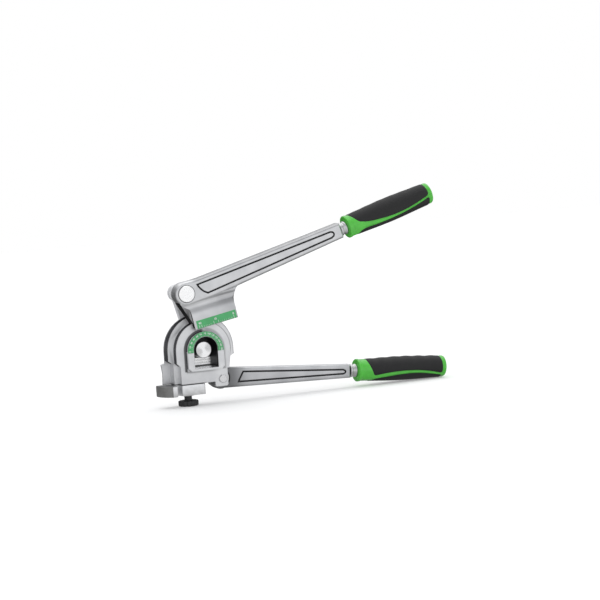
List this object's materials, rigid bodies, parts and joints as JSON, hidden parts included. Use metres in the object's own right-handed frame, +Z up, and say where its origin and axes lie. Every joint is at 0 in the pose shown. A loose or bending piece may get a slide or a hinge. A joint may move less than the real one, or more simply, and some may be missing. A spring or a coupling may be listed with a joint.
{
  "type": "lever tube bender",
  "caption": "Hand lever bender for small tube, with stacked half-round formers, a swinging bending shoe, two gripped levers and a swivel clamp hook.",
  "frame": {"origin": "middle of the flat foot of the clamp knob, on the surface that the tool stands on", "axes": "+X along the lower lever from the head to the grips, +Y from the front with the scales to the link at the back, +Z up"},
  "size_m": [0.3809, 0.053, 0.2488],
  "materials": {
    "cast": "satin die cast",
    "lower_cast": "satin die cast",
    "pin": "turned, bright",
    "zinc": "zinc plated",
    "hook": "satin, dull",
    "bronze": "sintered, dull",
    "scale": "satin, with white marks",
    "grip": "moulded, half gloss",
    "pad": "matte, fine grain",
    "knob": "moulded, matte"
  },
  "bodies": {
    "head": {"forming_head": "cast", "scale_arc": "scale", "centre_pin": "pin", "centre_washer": "zinc", "centre_ring": "zinc", "lower_pin": "pin", "lower_ring": "zinc", "lower_washer_front": "zinc", "lower_washer_rear": "zinc"},
    "swing_link": {"link": "cast", "link_bush": "bronze", "upper_pin": "pin", "upper_ring": "zinc"},
    "long_lever": {"upper_lever": "cast", "upper_bush": "bronze", "shoe_scale": "scale", "upper_ferrule": "pin", "upper_grip_core": "grip", "upper_pad_top": "pad", "upper_pad_bottom": "pad"},
    "short_lever": {"lower_lever": "lower_cast", "lower_bush": "bronze", "lower_ferrule": "pin", "lower_grip_core": "grip", "lower_pad_top": "pad", "lower_pad_bottom": "pad"},
    "hook": {"clamp_hook": "hook"},
    "knob": {"clamp_washer": "zinc", "clamp_screw": "zinc", "clamp_knob": "knob"}
  },
  "joints": [
    {"name": "link_swing", "type": "hinge", "parent": "head", "child": "swing_link", "pos_m": [0.0193, -0.0223, 0.067], "axis": [0, -1, 0], "range_deg": [-20, 90]},
    {"name": "shoe_hinge", "type": "hinge", "parent": "swing_link", "child": "long_lever", "pos_m": [0.00041, -0.0223, 0.13627], "axis": [0, -1, 0], "range_deg": [-10, 80]},
    {"name": "lower_fold", "type": "hinge", "parent": "head", "child": "short_lever", "pos_m": [0.0413, -0.0223, 0.0298], "axis": [0, 1, 0], "range_deg": [0, 90]},
    {"name": "hook_swivel", "type": "hinge", "parent": "head", "child": "hook", "pos_m": [0, 0, 0.02], "axis": [0, 0, 1], "range_deg": [-45, 60]},
    {"name": "knob_turn", "type": "hinge", "parent": "head", "child": "knob", "pos_m": [0, 0, 0], "axis": [0, 0, 1], "range_deg": [0, 360]}
  ]
}
